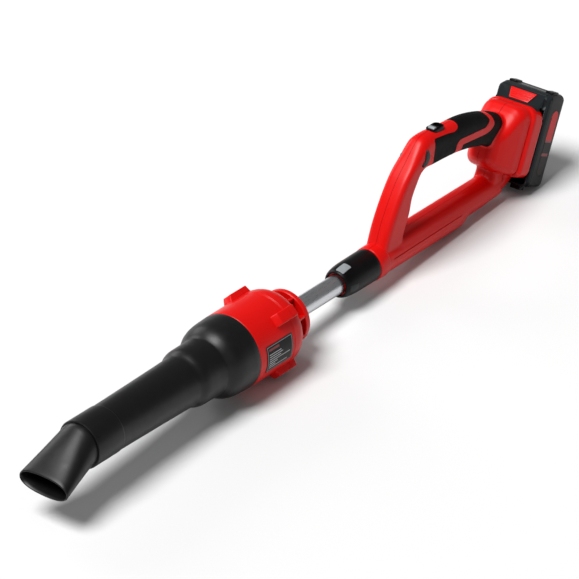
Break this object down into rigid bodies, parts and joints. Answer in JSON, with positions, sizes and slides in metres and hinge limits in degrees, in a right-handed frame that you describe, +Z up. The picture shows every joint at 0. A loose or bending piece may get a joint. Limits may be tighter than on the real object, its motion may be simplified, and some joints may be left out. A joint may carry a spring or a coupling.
{
  "type": "cordless leaf blower",
  "caption": "Cordless leaf blower: flat nozzle, stepped air tube and in-line fan on a telescopic pole with a loop handle and a slide-on battery pack.",
  "frame": {"origin": "floor level, under the middle of the whole tool, as it lies on the floor on its fan barrel and on the lower edge of its battery", "axes": "+X from the nozzle to the battery, +Y to the tool's right seen from behind the handle looking to the nozzle's far side, -Y the side with the rating plate, +Z up"},
  "size_m": [0.9882, 0.0982, 0.1664],
  "materials": {
    "red_plastic": "satin moulded red ABS",
    "black_plastic": "satin black moulded plastic",
    "charcoal_plastic": "dark grey moulded plastic",
    "grip_rubber": "soft black overmould",
    "grey_plastic": "light grey moulded plastic",
    "aluminium_tube": "clear anodised tube",
    "steel": "zinc plated",
    "circuit_board": "green solder mask",
    "cell_wrap": "blue shrink wrap",
    "label_film": "printed black film",
    "label_red": "printed red film"
  },
  "bodies": {
    "handle": {"handle_shell_left": "red_plastic", "handle_shell_right": "red_plastic", "grip_pad_left": "grip_rubber", "grip_pad_right": "grip_rubber", "grip_heel_left": "grip_rubber", "grip_heel_right": "grip_rubber", "handle_screw_1": "steel", "handle_screw_2": "steel", "handle_screw_3": "steel", "handle_screw_4": "steel", "handle_screw_5": "steel", "switch_frame": "black_plastic", "switch_body": "charcoal_plastic", "control_board": "circuit_board", "terminal_block": "charcoal_plastic", "clamp_sleeve": "red_plastic"},
    "pole": {"pole_tube": "aluminium_tube", "motor_lead": "grip_rubber", "intake_cap": "red_plastic", "fan_housing": "red_plastic", "blower_tube": "black_plastic", "motor_can": "steel", "housing_screw_1": "steel", "housing_screw_2": "steel", "housing_screw_3": "steel", "housing_screw_4": "steel", "rating_plate": "label_film"},
    "nozzle": {"nozzle_tip": "black_plastic"},
    "fan": {"impeller": "charcoal_plastic", "motor_shaft": "steel"},
    "collar": {"locking_collar": "black_plastic", "collar_mark": "grey_plastic", "collar_mark_side": "charcoal_plastic"},
    "slider": {"power_slider": "black_plastic", "slider_pad": "grey_plastic"},
    "side_key": {"side_button": "charcoal_plastic"},
    "battery": {"battery_case_rear": "black_plastic", "battery_case_front": "charcoal_plastic", "battery_screw_1": "steel", "battery_screw_2": "steel", "battery_screw_3": "steel", "battery_screw_4": "steel", "battery_cell_1": "cell_wrap", "battery_cell_2": "cell_wrap", "battery_cell_3": "cell_wrap", "battery_cell_4": "cell_wrap", "battery_cell_5": "cell_wrap", "cell_board": "circuit_board", "battery_label_left": "label_red", "battery_label_right": "label_red"},
    "latch": {"latch_button": "red_plastic"}
  },
  "joints": [
    {"name": "pole_extend", "type": "slide", "parent": "handle", "child": "pole", "axis": [-0.9973, 0, 0.0732], "range_m": [0, 0.12]},
    {"name": "collar_twist", "type": "hinge", "parent": "handle", "child": "collar", "pos_m": [0.0825, 0, 0.03605], "axis": [0.9973, 0, -0.0732], "range_deg": [0, 60]},
    {"name": "nozzle_turn", "type": "hinge", "parent": "pole", "child": "nozzle", "pos_m": [-0.41807, 0, 0.0728], "axis": [0.9973, 0, -0.0732], "range_deg": [-90, 90]},
    {"name": "fan_spin", "type": "hinge", "parent": "pole", "child": "fan", "pos_m": [-0.1323, 0, 0.05182], "axis": [0.9973, 0, -0.0732], "continuous": true},
    {"name": "switch_slide", "type": "slide", "parent": "handle", "child": "slider", "axis": [0.9973, 0, -0.0732], "range_m": [0, 0.007]},
    {"name": "side_button_press", "type": "slide", "parent": "handle", "child": "side_key", "axis": [0, 1, 0], "range_m": [0, 0.002], "stiffness_N_per_m": 250},
    {"name": "battery_slide", "type": "slide", "parent": "handle", "child": "battery", "axis": [0.4415, 0, 0.8973], "range_m": [0, 0.1]},
    {"name": "latch_press", "type": "slide", "parent": "battery", "child": "latch", "axis": [0.4782, 0, -0.8782], "range_m": [0, 0.0022], "stiffness_N_per_m": 400}
  ]
}
